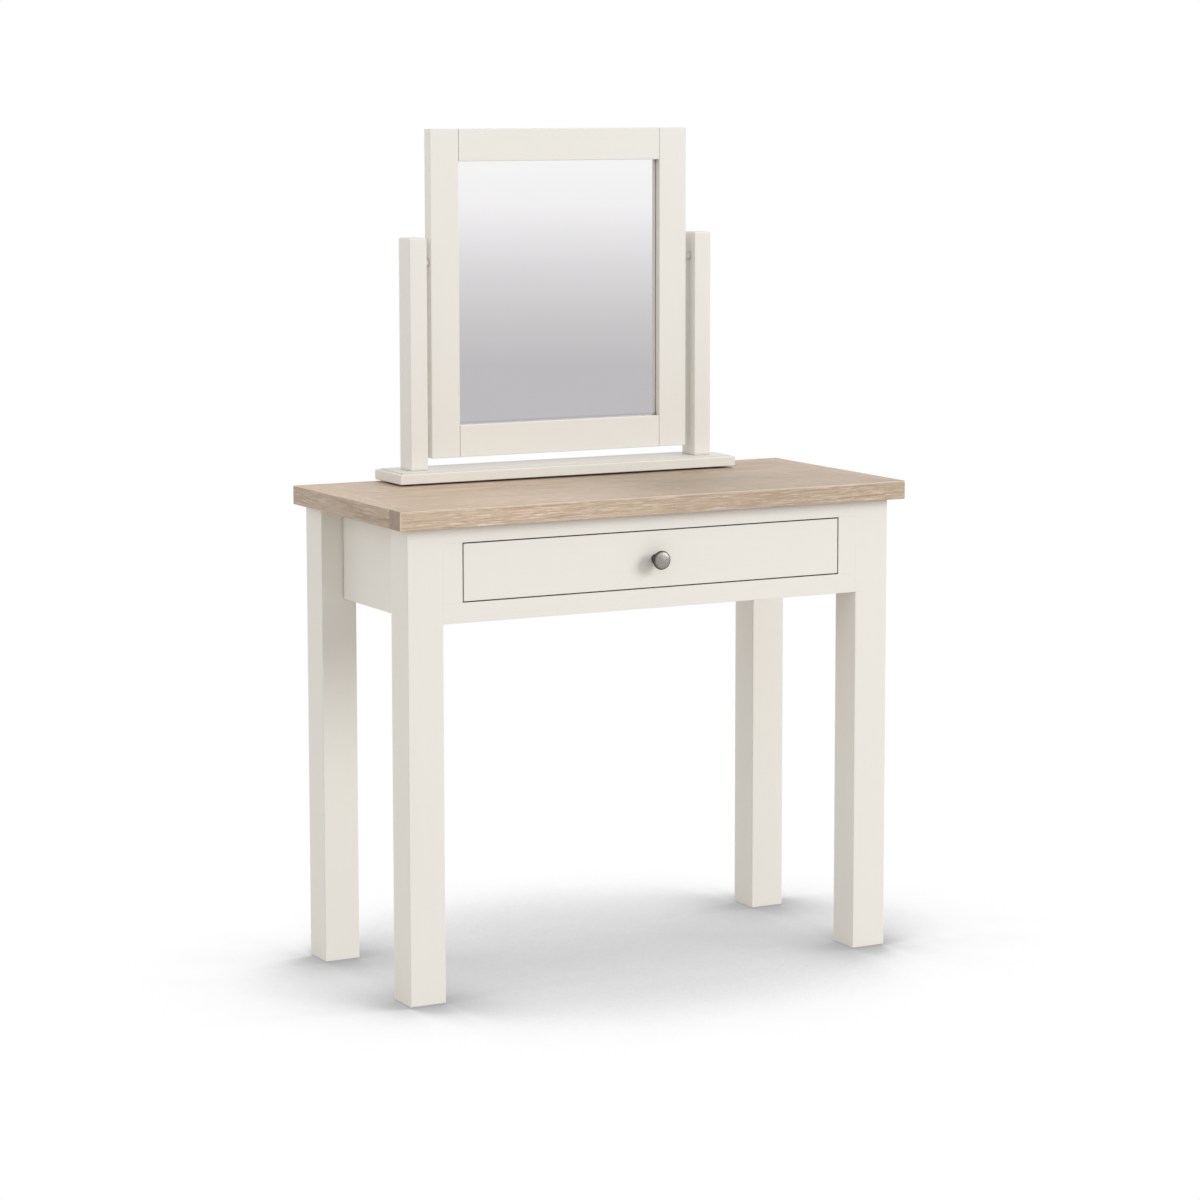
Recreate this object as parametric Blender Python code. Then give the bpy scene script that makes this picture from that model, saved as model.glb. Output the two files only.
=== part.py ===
"""Dressing table with one inset drawer and a free-standing tilting mirror.

Metres, +Z up. The drawer front faces -Y, and +X is on the right of someone
who sits at the table. The origin is the bottom centre of the whole object.
"""
import math

import bmesh
import bpy
from mathutils import Vector

# Overall sizes of the table
TABLE_WIDTH = 0.898
TABLE_DEPTH = 0.406
TABLE_HEIGHT = 0.770

# Gap left where two pieces seat on each other, and how far a cut runs past a face
SEAT_GAP = 0.0003
OVERRUN = 0.002

# Table top: a panel inside a lipping of solid oak
TOP_THICKNESS = 0.030
SIDE_OVERHANG = 0.021
FRONT_OVERHANG = 0.020
BACK_OVERHANG = 0.002
LIPPING_WIDTH = 0.038
TOP_ARRIS = 0.0014

# Legs, and the glides under them
LEG_SECTION = 0.060
LEG_ARRIS = 0.0015
GLIDE_DIAMETER = 0.024
GLIDE_THICKNESS = 0.002
GLIDE_EDGE = 0.0005
GLIDE_NAIL_DIAMETER = 0.003
GLIDE_NAIL_LENGTH = 0.014

# Apron: side panels, back panel and the face frame round the drawer
APRON_HEIGHT = 0.149
SIDE_PANEL_THICKNESS = 0.022
BACK_PANEL_THICKNESS = 0.018
BACK_PANEL_INSET = 0.010
FACE_FRAME_THICKNESS = 0.022
TOP_RAIL_HEIGHT = 0.0255
BOTTOM_RAIL_HEIGHT = 0.0312
FACE_STILE_WIDTH = 0.0325
APRON_ARRIS = 0.0008
APRON_TENON = 0.012
APRON_SHOULDER = 0.006
STILE_TENON = 0.008

# Drawer
DRAWER_GAP = 0.0019
DRAWER_REAR_SPACE = 0.026
DRAWER_FRONT_THICKNESS = 0.020
DRAWER_WALL = 0.012
DRAWER_LAP = 0.007
DRAWER_SIDE_TOP_GAP = 0.006
DRAWER_BACK_DROP = 0.008
DRAWER_BOTTOM_THICKNESS = 0.006
DRAWER_BOTTOM_RAISE = 0.009
DRAWER_GROOVE_DEPTH = 0.006
DRAWER_ARRIS = 0.0008

# Runners, kickers and stops that the drawer works against
RUNNER_WIDTH = 0.050
RUNNER_HEIGHT = 0.020
GUIDE_HEIGHT = 0.030
GUIDE_PLAY = 0.001
KICKER_WIDTH = 0.050
STOP_LENGTH = 0.016
STOP_HEIGHT = 0.012

# Screws that hold the kickers to the top
TOP_SCREW_DIAMETER = 0.0045
TOP_SCREW_HEAD = 0.0085
TOP_SCREW_HEAD_DEPTH = 0.0026
TOP_SCREW_BITE = 0.015
TOP_SCREW_PLACE_SHARE = 0.30

# Knob and the screw behind it
KNOB_DIAMETER = 0.030
KNOB_PROJECTION = 0.024
KNOB_ROSE_DIAMETER = 0.0165
KNOB_SCREW_DIAMETER = 0.004
KNOB_SCREW_HEAD = 0.009
KNOB_SCREW_HEAD_HEIGHT = 0.0028
KNOB_SCREW_BITE = 0.011

# Outline of the knob from rose to face: radius as a share of the face radius
# (below 1) and distance from the drawer front as a share of the projection
KNOB_OUTLINE_SHARES = (
    (0.55, 0.050),
    (0.52, 0.110),
    (0.45, 0.190),
    (0.41, 0.290),
    (0.42, 0.400),
    (0.50, 0.490),
    (0.70, 0.570),
    (0.89, 0.650),
    (0.98, 0.730),
    (1.00, 0.790),
    (0.985, 0.850),
    (0.93, 0.905),
    (0.76, 0.955),
    (0.42, 0.988),
)

# Mirror stand: base board, pads, posts
STAND_DEPTH = 0.100
STAND_THICKNESS = 0.0164
STAND_EDGE_RADIUS = 0.002
STAND_FIELD_STEP = 0.0015
STAND_FIELD_INSET = 0.007
STAND_ARRIS = 0.001
STAND_BACK_INSET = 0.004
PAD_HEIGHT = 0.003
PAD_DIAMETER = 0.018
PAD_INSET = 0.022
POST_WIDTH = 0.030
POST_DEPTH = 0.042
POST_HEIGHT = 0.372
POST_END_INSET = 0.0315
POST_CHAMFER = 0.0022
POST_ARRIS = 0.001
POST_TENON = 0.008
POST_SHOULDER = 0.007
POST_SCREW_DIAMETER = 0.0045
POST_SCREW_HEAD = 0.009
POST_SCREW_HEAD_DEPTH = 0.0028
POST_SCREW_LENGTH = 0.045

# Mirror frame, glass and back board
MIRROR_WIDTH = 0.468
MIRROR_HEIGHT = 0.5275
MIRROR_SIDE_GAP = 0.0115
MIRROR_BASE_GAP = 0.017
MIRROR_STILE_WIDTH = 0.0505
MIRROR_RAIL_WIDTH = 0.052
MIRROR_ARRIS = 0.0012
MIRROR_TENON = 0.022
MIRROR_SHOULDER = 0.0085
GLASS_SET_BACK = 0.012
GLASS_THICKNESS = 0.004
REBATE_WIDTH = 0.008
REBATE_PLAY = 0.0005
BACK_BOARD_THICKNESS = 0.0047
BACK_BOARD_SINK = 0.001

# Pivots that carry the frame between the posts
PIVOT_BELOW_POST_TOP = 0.040
PIN_DIAMETER = 0.008
PIN_IN_FRAME = 0.020
PIN_IN_POST = 0.016
BUSH_WALL = 0.0025
PIN_END_PLAY = 0.002
COLLAR_WALL = 0.002

# Roundness of turned and drilled shapes
TURN_STEPS = 40
BORE_STEPS = 20
CORNER_STEPS = 2
ROUND_EDGE_STEPS = 4

# Places that follow from the sizes above
SIDES = (("left", -1), ("right", 1))
ENDS = (("front", -1), ("back", 1))
LEG_SPREAD = TABLE_WIDTH / 2 - SIDE_OVERHANG
LEG_FRAME_DEPTH = TABLE_DEPTH - FRONT_OVERHANG - BACK_OVERHANG
FRONT_REACH = max(FRONT_OVERHANG, KNOB_PROJECTION)
FRONT_Y = FRONT_REACH - (FRONT_REACH + LEG_FRAME_DEPTH + BACK_OVERHANG) / 2
BACK_Y = FRONT_Y + LEG_FRAME_DEPTH
TOP_UNDERSIDE = TABLE_HEIGHT - TOP_THICKNESS
APRON_TOP = TOP_UNDERSIDE - SEAT_GAP
APRON_BOTTOM = TOP_UNDERSIDE - APRON_HEIGHT
LEG_INNER_X = LEG_SPREAD - LEG_SECTION
OPENING_TOP = TOP_UNDERSIDE - TOP_RAIL_HEIGHT
OPENING_BOTTOM = APRON_BOTTOM + BOTTOM_RAIL_HEIGHT
OPENING_HALF_WIDTH = LEG_INNER_X - FACE_STILE_WIDTH
FACE_FRAME_BACK = FRONT_Y + FACE_FRAME_THICKNESS
BACK_PANEL_FRONT = BACK_Y - BACK_PANEL_INSET - BACK_PANEL_THICKNESS
CARCASE_FRONT = FACE_FRAME_BACK + SEAT_GAP
CARCASE_BACK = BACK_PANEL_FRONT - SEAT_GAP
CARCASE_SIDE = LEG_INNER_X - SEAT_GAP
DRAWER_LENGTH = BACK_PANEL_FRONT - DRAWER_REAR_SPACE - FRONT_Y
DRAWER_HALF_WIDTH = OPENING_HALF_WIDTH - DRAWER_GAP
DRAWER_FRONT_HEIGHT = OPENING_TOP - OPENING_BOTTOM - 2 * DRAWER_GAP
DRAWER_FRONT_Z = (OPENING_TOP + OPENING_BOTTOM) / 2
DRAWER_SIDE_FOOT = OPENING_BOTTOM + SEAT_GAP
DRAWER_SIDE_HEIGHT = OPENING_TOP - DRAWER_SIDE_TOP_GAP - DRAWER_SIDE_FOOT
DRAWER_FLOOR = DRAWER_SIDE_FOOT + DRAWER_BOTTOM_RAISE
STAND_Y = BACK_Y + BACK_OVERHANG - STAND_BACK_INSET - STAND_DEPTH / 2
STAND_FOOT = TABLE_HEIGHT + PAD_HEIGHT
POST_FOOT = STAND_FOOT + STAND_THICKNESS + STAND_FIELD_STEP
POST_INNER_X = MIRROR_WIDTH / 2 + MIRROR_SIDE_GAP
POST_X = POST_INNER_X + POST_WIDTH / 2
STAND_WIDTH = 2 * (POST_INNER_X + POST_WIDTH + POST_END_INSET)
PIVOT_Z = POST_FOOT + POST_HEIGHT - PIVOT_BELOW_POST_TOP
MIRROR_FOOT = POST_FOOT + MIRROR_BASE_GAP - PIVOT_Z
BACK_BOARD_SEAT = GLASS_SET_BACK + GLASS_THICKNESS + SEAT_GAP
MIRROR_THICKNESS = BACK_BOARD_SEAT + BACK_BOARD_THICKNESS + BACK_BOARD_SINK
REBATE_HALF_WIDTH = MIRROR_WIDTH / 2 - MIRROR_STILE_WIDTH + REBATE_WIDTH
REBATE_HALF_HEIGHT = MIRROR_HEIGHT / 2 - MIRROR_RAIL_WIDTH + REBATE_WIDTH
BUSH_RADIUS = PIN_DIAMETER / 2 + SEAT_GAP + BUSH_WALL
BUSH_LENGTH = PIN_IN_POST + PIN_END_PLAY


def clear_scene():
    """Take away whatever the open file holds."""
    for thing in list(bpy.data.objects):
        bpy.data.objects.remove(thing, do_unlink=True)


def make_material(name, colour, roughness, metallic=0.0):
    """One plain Principled surface."""
    surface = bpy.data.materials.new(name)
    surface.use_nodes = True
    shader = surface.node_tree.nodes["Principled BSDF"]
    shader.inputs["Base Color"].default_value = (*colour, 1.0)
    shader.inputs["Roughness"].default_value = roughness
    shader.inputs["Metallic"].default_value = metallic
    surface.diffuse_color = (*colour, 1.0)
    return surface


def oak(name):
    return make_material(name, (0.42, 0.30, 0.20), 0.55)


def paint(name):
    return make_material(name, (0.80, 0.77, 0.69), 0.42)


def pale_wood(name):
    return make_material(name, (0.62, 0.47, 0.30), 0.60)


def pewter(name):
    return make_material(name, (0.33, 0.32, 0.31), 0.38, 1.0)


def steel(name):
    return make_material(name, (0.55, 0.54, 0.52), 0.35, 1.0)


def nylon(name):
    return make_material(name, (0.10, 0.10, 0.10), 0.50)


def white_nylon(name):
    return make_material(name, (0.72, 0.69, 0.62), 0.50)


def place(name, bm, surface, location, parent=None):
    """Turn a bmesh into a named object at its place."""
    mesh = bpy.data.meshes.new(name)
    bmesh.ops.recalc_face_normals(bm, faces=bm.faces)
    bm.to_mesh(mesh)
    bm.free()
    mesh.materials.append(surface)
    thing = bpy.data.objects.new(name, mesh)
    bpy.context.scene.collection.objects.link(thing)
    thing.location = location
    thing.parent = parent
    return thing


def place_empty(name, location):
    """A joint's own frame, which its moving pieces hang from."""
    thing = bpy.data.objects.new(name, None)
    bpy.context.scene.collection.objects.link(thing)
    thing.location = location
    return thing


def block(size):
    """A box of the given size round its own origin."""
    bm = bmesh.new()
    bmesh.ops.create_cube(bm, size=1.0)
    bmesh.ops.scale(bm, vec=Vector(size), verts=bm.verts)
    return bm


def edges_along(bm, axis):
    """The straight edges that run parallel to one axis."""
    found = []
    for edge in bm.edges:
        run = (edge.verts[1].co - edge.verts[0].co).normalized()
        if abs(run[axis]) > math.cos(math.radians(1)):
            found.append(edge)
    return found


def ease(bm, edges, width, steps=CORNER_STEPS):
    """Round the given edges over."""
    bmesh.ops.bevel(
        bm, geom=edges, offset=width, offset_type="OFFSET", segments=steps, profile=0.5,
        affect="EDGES", clamp_overlap=True, material=-1,
    )


def end_face(bm, axis, sign):
    """The flat face that closes a board at one end."""
    return max(bm.faces, key=lambda face: sign * face.calc_center_median()[axis])


def grow_face(bm, face, inset, axis, rise):
    """Step a flat face in and push it out along an axis, as for a tenon."""
    bmesh.ops.inset_region(bm, faces=[face], thickness=inset, use_even_offset=True)
    grown = bmesh.ops.extrude_face_region(bm, geom=[face])
    tip = [item for item in grown["geom"] if isinstance(item, bmesh.types.BMVert)]
    move = Vector((0, 0, 0))
    move[axis] = rise
    bmesh.ops.translate(bm, vec=move, verts=tip)
    bmesh.ops.delete(bm, geom=[face], context="FACES_ONLY")


def board(size, axis, arris, tenon=0.0, shoulder=0.0):
    """A board with eased long edges; its ends can carry tenons beyond the size."""
    bm = block(size)
    long_edges = edges_along(bm, axis)
    if tenon:
        for sign in (-1, 1):
            grow_face(bm, end_face(bm, axis, sign), shoulder, axis, sign * tenon)
    ease(bm, long_edges, arris)
    return bm


def eased_block(size, arris, steps=CORNER_STEPS):
    """A box with all twelve edges eased."""
    bm = block(size)
    ease(bm, list(bm.edges), arris, steps)
    return bm


def turned(outline, axis, steps=TURN_STEPS):
    """Spin an outline of (radius, height) points round an axis through the origin.

    An outline that starts and ends on the axis gives a solid, and a closed
    loop that stays clear of the axis gives a ring.
    """
    bm = bmesh.new()
    on_axis = outline[0][0] == 0
    points = [bm.verts.new((radius, 0, height)) for radius, height in outline]
    for start, end in zip(points, points[1:]):
        bm.edges.new((start, end))
    if not on_axis:
        bm.edges.new((points[-1], points[0]))
    bmesh.ops.spin(
        bm, geom=list(bm.verts) + list(bm.edges), cent=(0, 0, 0), axis=(0, 0, 1), dvec=(0, 0, 0),
        angle=math.tau, steps=steps, use_merge=True, use_duplicate=False,
    )
    bmesh.ops.remove_doubles(bm, verts=bm.verts, dist=SEAT_GAP / 100)
    turn = Vector((0, 0, 1)).rotation_difference(Vector(axis)).to_matrix()
    bmesh.ops.rotate(bm, cent=(0, 0, 0), matrix=turn, verts=bm.verts)
    return bm


def smooth(thing, angle=math.radians(35)):
    """Shade a turned piece round and keep its corners crisp."""
    thing.data.shade_smooth()
    thing.data.set_sharp_from_angle(angle=angle)
    return thing


def cutter(name, bm, location, parent=None):
    """A hidden solid that only cuts others."""
    mesh = bpy.data.meshes.new(name)
    bmesh.ops.recalc_face_normals(bm, faces=bm.faces)
    bm.to_mesh(mesh)
    bm.free()
    thing = bpy.data.objects.new(name, mesh)
    bpy.context.scene.collection.objects.link(thing)
    thing.location = location
    thing.parent = parent
    thing.display_type = "WIRE"
    thing.hide_render = True
    return thing


def cut(thing, tool):
    """Take the tool's shape out of a piece."""
    change = thing.modifiers.new("cut " + tool.name, "BOOLEAN")
    change.operation = "DIFFERENCE"
    change.solver = "EXACT"
    change.object = tool


def mortise(thing, name, tenon_size, axis, face, into, across, parent=None):
    """Cut a pocket for a tenon into a piece.

    face is the coordinate of the entered face along the axis, into the
    direction of the cut, and across the centre of the pocket.
    """
    size = [width + 2 * SEAT_GAP for width in tenon_size]
    depth = tenon_size[axis] + SEAT_GAP
    size[axis] = depth + OVERRUN
    centre = list(across)
    centre[axis] = face + into * (depth - OVERRUN) / 2
    cut(thing, cutter(name, block(size), centre, parent))


def drill(name, radius, low, high, axis, base, parent=None):
    """A round cutter from one height to another along an axis through a point."""
    outline = ((0, low), (radius, low), (radius, high), (0, high))
    return cutter(name, turned(outline, axis, BORE_STEPS), base, parent)


def countersunk_screw(head_radius, head_depth, radius, length, axis):
    """A screw with its head's flat face at the origin, pointing along the axis."""
    tip = radius
    outline = (
        (0, 0), (head_radius, 0), (radius, head_depth), (radius, length - tip), (0, length),
    )
    return turned(outline, axis, BORE_STEPS)


def screw_bore(name, head_radius, head_depth, radius, length, axis, base, parent=None):
    """The clearance that a countersunk screw needs, open at its head."""
    wide = head_radius + SEAT_GAP
    slim = radius + SEAT_GAP
    outline = (
        (0, -OVERRUN), (wide, -OVERRUN), (wide, 0), (slim, head_depth), (slim, length + SEAT_GAP),
        (0, length + SEAT_GAP),
    )
    return cutter(name, turned(outline, axis, BORE_STEPS), base, parent)


def build_top():
    """Centre panel, a lipping across the front, one at each side behind it and one between those."""
    front = FRONT_Y - FRONT_OVERHANG
    back = BACK_Y + BACK_OVERHANG
    height = TABLE_HEIGHT - TOP_THICKNESS / 2
    joint = SEAT_GAP / 2
    width = LIPPING_WIDTH - joint
    front_size = (TABLE_WIDTH, width, TOP_THICKNESS)
    front_lipping = eased_block(front_size, TOP_ARRIS)
    place("top_front_lipping", front_lipping, oak("top front"), (0, front + width / 2, height))
    side_length = TABLE_DEPTH - LIPPING_WIDTH - joint
    for side, sign in SIDES:
        bm = block((width, side_length, TOP_THICKNESS))
        outer = [edge for edge in edges_along(bm, 1) if edge.verts[0].co.x * sign > 0]
        behind = [edge for edge in edges_along(bm, 0) if edge.verts[0].co.y > 0]
        corner = [
            edge for edge in edges_along(bm, 2)
            if edge.verts[0].co.x * sign > 0 and edge.verts[0].co.y > 0
        ]
        ease(bm, outer + behind + corner, TOP_ARRIS)
        centre = (sign * (TABLE_WIDTH - width) / 2, back - side_length / 2, height)
        place("top_" + side + "_lipping", bm, oak("top " + side), centre)
    inner_width = TABLE_WIDTH - 2 * LIPPING_WIDTH - 2 * joint
    bm = block((inner_width, width, TOP_THICKNESS))
    ease(bm, [edge for edge in edges_along(bm, 0) if edge.verts[0].co.y > 0], TOP_ARRIS)
    place("top_back_lipping", bm, oak("top back"), (0, back - width / 2, height))
    panel_size = (inner_width, TABLE_DEPTH - 2 * LIPPING_WIDTH - 2 * joint, TOP_THICKNESS)
    return place("top_panel", block(panel_size), oak("top panel"), (0, (front + back) / 2, height))


def build_leg(side, sign, end, row):
    """One square leg, with pockets for the apron and a bore for its glide."""
    foot = GLIDE_THICKNESS + SEAT_GAP
    length = APRON_TOP - foot
    centre_x = sign * (LEG_SPREAD - LEG_SECTION / 2)
    centre_y = (FRONT_Y + LEG_SECTION / 2) if row < 0 else (BACK_Y - LEG_SECTION / 2)
    name = "leg_" + end + "_" + side
    bm = block((LEG_SECTION, LEG_SECTION, length))
    upper = [edge for edge in bm.edges if all(vert.co.z > 0 for vert in edge.verts)]
    ease(bm, [edge for edge in bm.edges if edge not in upper], LEG_ARRIS)
    leg = place(name, bm, paint(name), (centre_x, centre_y, foot + length / 2))

    panel_x = sign * (LEG_INNER_X + SIDE_PANEL_THICKNESS / 2)
    panel_height = APRON_TOP - APRON_BOTTOM
    middle_z = (APRON_TOP + APRON_BOTTOM) / 2
    lost = 2 * APRON_SHOULDER
    mortise(
        leg, name + " side pocket",
        (SIDE_PANEL_THICKNESS - lost, APRON_TENON, panel_height - lost), 1,
        centre_y - row * LEG_SECTION / 2, row, (panel_x, 0, middle_z),
    )
    if row < 0:
        rail_y = FRONT_Y + FACE_FRAME_THICKNESS / 2
        for rail, low, high in face_rails():
            mortise(
                leg, name + " " + rail + " pocket",
                (APRON_TENON, FACE_FRAME_THICKNESS - lost, high - low - lost), 0,
                sign * LEG_INNER_X, sign, (0, rail_y, (low + high) / 2),
            )
    else:
        panel_y = BACK_Y - BACK_PANEL_INSET - BACK_PANEL_THICKNESS / 2
        mortise(
            leg, name + " back pocket",
            (APRON_TENON, BACK_PANEL_THICKNESS - lost, panel_height - lost), 0,
            sign * LEG_INNER_X, sign, (0, panel_y, middle_z),
        )
    bore = drill(
        name + " nail bore", GLIDE_NAIL_DIAMETER / 2 + SEAT_GAP, -OVERRUN, GLIDE_NAIL_LENGTH + SEAT_GAP,
        (0, 0, 1), (centre_x, centre_y, GLIDE_THICKNESS),
    )
    cut(leg, bore)
    build_glide(end + "_" + side, centre_x, centre_y)


def build_glide(where, centre_x, centre_y):
    """A nail-in glide that keeps the leg's end grain off the floor."""
    radius = GLIDE_DIAMETER / 2
    nail = GLIDE_NAIL_DIAMETER / 2
    outline = (
        (0, 0), (radius - GLIDE_EDGE, 0), (radius, GLIDE_EDGE), (radius, GLIDE_THICKNESS),
        (nail, GLIDE_THICKNESS), (nail, GLIDE_THICKNESS + GLIDE_NAIL_LENGTH - nail),
        (0, GLIDE_THICKNESS + GLIDE_NAIL_LENGTH),
    )
    name = "foot_glide_" + where
    smooth(place(name, turned(outline, (0, 0, 1)), nylon(name), (centre_x, centre_y, 0)))


def face_rails():
    """Name, bottom and top of the two rails of the face frame."""
    return (
        ("top rail", OPENING_TOP, APRON_TOP),
        ("bottom rail", APRON_BOTTOM, OPENING_BOTTOM),
    )


def build_apron():
    """Side panels, back panel, and the face frame that the drawer closes into."""
    panel_height = APRON_TOP - APRON_BOTTOM
    middle_z = (APRON_TOP + APRON_BOTTOM) / 2
    side_length = LEG_FRAME_DEPTH - 2 * LEG_SECTION - 2 * SEAT_GAP
    middle_y = (FRONT_Y + BACK_Y) / 2
    tenon = APRON_TENON - SEAT_GAP
    for side, sign in SIDES:
        name = "side_panel_" + side
        bm = board((SIDE_PANEL_THICKNESS, side_length, panel_height), 1, APRON_ARRIS, tenon, APRON_SHOULDER)
        place(name, bm, paint(name), (sign * (LEG_INNER_X + SIDE_PANEL_THICKNESS / 2), middle_y, middle_z))
    cross_length = 2 * CARCASE_SIDE
    bm = board((cross_length, BACK_PANEL_THICKNESS, panel_height), 0, APRON_ARRIS, tenon, APRON_SHOULDER)
    panel_y = BACK_Y - BACK_PANEL_INSET - BACK_PANEL_THICKNESS / 2
    place("back_panel", bm, paint("back panel"), (0, panel_y, middle_z))

    rail_y = FRONT_Y + FACE_FRAME_THICKNESS / 2
    stile_x = OPENING_HALF_WIDTH + FACE_STILE_WIDTH / 2
    stile_tenon = (
        FACE_STILE_WIDTH - 2 * APRON_SHOULDER, FACE_FRAME_THICKNESS - 2 * APRON_SHOULDER, STILE_TENON,
    )
    for rail, low, high in face_rails():
        name = "front_" + rail.replace(" ", "_")
        bm = board((cross_length, FACE_FRAME_THICKNESS, high - low), 0, APRON_ARRIS, tenon, APRON_SHOULDER)
        thing = place(name, bm, paint(name), (0, rail_y, (low + high) / 2))
        entered, into = (low, 1) if low == OPENING_TOP else (high, -1)
        for side, sign in SIDES:
            across = (sign * stile_x, rail_y, 0)
            mortise(thing, name + " " + side + " pocket", stile_tenon, 2, entered, into, across)
    stile_height = OPENING_TOP - OPENING_BOTTOM - 2 * SEAT_GAP
    for side, sign in SIDES:
        name = "front_stile_" + side
        width = FACE_STILE_WIDTH - SEAT_GAP
        bm = board(
            (width, FACE_FRAME_THICKNESS, stile_height), 2, APRON_ARRIS, STILE_TENON - SEAT_GAP, APRON_SHOULDER,
        )
        place(name, bm, paint(name), (sign * (stile_x - SEAT_GAP / 2), rail_y, DRAWER_FRONT_Z))


def build_drawer_way(top_panel):
    """Runners with side guides under the drawer, kickers above it, and stops behind it."""
    length = CARCASE_BACK - CARCASE_FRONT
    middle_y = (CARCASE_BACK + CARCASE_FRONT) / 2
    guide_x = DRAWER_HALF_WIDTH + GUIDE_PLAY
    for side, sign in SIDES:
        inner_x = CARCASE_SIDE - RUNNER_WIDTH
        outline = (
            (inner_x, OPENING_BOTTOM - RUNNER_HEIGHT), (CARCASE_SIDE, OPENING_BOTTOM - RUNNER_HEIGHT),
            (CARCASE_SIDE, OPENING_BOTTOM + GUIDE_HEIGHT), (guide_x, OPENING_BOTTOM + GUIDE_HEIGHT),
            (guide_x, OPENING_BOTTOM), (inner_x, OPENING_BOTTOM),
        )
        bm = bmesh.new()
        face = bm.faces.new([bm.verts.new((sign * x, CARCASE_FRONT, z)) for x, z in outline])
        grown = bmesh.ops.extrude_face_region(bm, geom=[face], use_keep_orig=True)
        far = [item for item in grown["geom"] if isinstance(item, bmesh.types.BMVert)]
        bmesh.ops.translate(bm, vec=(0, length, 0), verts=far)
        name = "drawer_runner_" + side
        place(name, bm, pale_wood(name), (0, 0, 0))

        name = "drawer_kicker_" + side
        height = APRON_TOP - OPENING_TOP
        kicker_x = sign * (CARCASE_SIDE - KICKER_WIDTH / 2)
        bm = board((KICKER_WIDTH, length, height), 1, APRON_ARRIS)
        kicker = place(name, bm, pale_wood(name), (kicker_x, middle_y, OPENING_TOP + height / 2))
        for end, row in ENDS:
            screw_length = TOP_UNDERSIDE + TOP_SCREW_BITE - OPENING_TOP - SEAT_GAP
            base = (kicker_x, middle_y + row * TOP_SCREW_PLACE_SHARE * length, OPENING_TOP + SEAT_GAP)
            sizes = (TOP_SCREW_HEAD / 2, TOP_SCREW_HEAD_DEPTH, TOP_SCREW_DIAMETER / 2, screw_length, (0, 0, 1))
            name = "top_screw_" + end + "_" + side
            smooth(place(name, countersunk_screw(*sizes), steel(name), base))
            tool = screw_bore(name + " bore", *sizes, base)
            cut(kicker, tool)
            cut(top_panel, tool)

        name = "drawer_stop_" + side
        stop_width = DRAWER_WALL
        stop_y = FRONT_Y + DRAWER_LENGTH + SEAT_GAP + STOP_LENGTH / 2
        stop_x = sign * (DRAWER_HALF_WIDTH - stop_width / 2)
        bm = eased_block((stop_width, STOP_LENGTH, STOP_HEIGHT), APRON_ARRIS)
        place(name, bm, pale_wood(name), (stop_x, stop_y, OPENING_BOTTOM + SEAT_GAP + STOP_HEIGHT / 2))


def build_drawer():
    """A lapped drawer box with a bottom in grooves, hung from the empty it slides with."""
    slide = place_empty("drawer_slide", (0, FRONT_Y, DRAWER_FRONT_Z))
    foot = DRAWER_SIDE_FOOT - DRAWER_FRONT_Z
    side_middle = foot + DRAWER_SIDE_HEIGHT / 2
    floor = DRAWER_FLOOR - DRAWER_FRONT_Z
    side_start = DRAWER_LAP + SEAT_GAP
    side_length = DRAWER_LENGTH - side_start
    side_x = DRAWER_HALF_WIDTH - DRAWER_WALL / 2

    bm = eased_block((2 * DRAWER_HALF_WIDTH, DRAWER_FRONT_THICKNESS, DRAWER_FRONT_HEIGHT), DRAWER_ARRIS)
    front = place("drawer_front", bm, paint("drawer front"), (0, DRAWER_FRONT_THICKNESS / 2, 0), slide)
    groove_half = DRAWER_HALF_WIDTH - DRAWER_WALL + DRAWER_GROOVE_DEPTH
    groove_height = DRAWER_BOTTOM_THICKNESS + 2 * SEAT_GAP
    groove_start = DRAWER_FRONT_THICKNESS - DRAWER_GROOVE_DEPTH
    groove_length = DRAWER_LENGTH - groove_start + OVERRUN
    groove = cutter(
        "drawer bottom groove", block((2 * groove_half, groove_length, groove_height)),
        (0, groove_start + groove_length / 2, floor + DRAWER_BOTTOM_THICKNESS / 2), slide,
    )
    cut(front, groove)

    lap_width = DRAWER_WALL + SEAT_GAP
    lap_depth = DRAWER_FRONT_THICKNESS - DRAWER_LAP
    for side, sign in SIDES:
        tool = cutter(
            "drawer lap " + side,
            block((lap_width + OVERRUN, lap_depth + OVERRUN, DRAWER_FRONT_HEIGHT + 2 * OVERRUN)),
            (
                sign * (DRAWER_HALF_WIDTH - (lap_width - OVERRUN) / 2),
                DRAWER_LAP + (lap_depth + OVERRUN) / 2, 0,
            ),
            slide,
        )
        cut(front, tool)
        name = "drawer_side_" + side
        bm = board((DRAWER_WALL, side_length, DRAWER_SIDE_HEIGHT), 1, DRAWER_ARRIS)
        centre = (sign * side_x, side_start + side_length / 2, side_middle)
        cut(place(name, bm, pale_wood(name), centre, slide), groove)

    back_foot = floor + DRAWER_BOTTOM_THICKNESS + SEAT_GAP
    back_height = foot + DRAWER_SIDE_HEIGHT - DRAWER_BACK_DROP - back_foot
    back_width = 2 * (DRAWER_HALF_WIDTH - DRAWER_WALL - SEAT_GAP)
    bm = board((back_width, DRAWER_WALL, back_height), 0, DRAWER_ARRIS)
    back_y = DRAWER_LENGTH - DRAWER_WALL / 2
    place("drawer_back", bm, pale_wood("drawer back"), (0, back_y, back_foot + back_height / 2), slide)

    bottom_start = groove_start + SEAT_GAP
    bottom_length = DRAWER_LENGTH - bottom_start
    bm = block((2 * (groove_half - SEAT_GAP), bottom_length, DRAWER_BOTTOM_THICKNESS))
    centre = (0, bottom_start + bottom_length / 2, floor + DRAWER_BOTTOM_THICKNESS / 2)
    place("drawer_bottom", bm, pale_wood("drawer bottom"), centre, slide)
    build_knob(front, slide)


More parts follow.
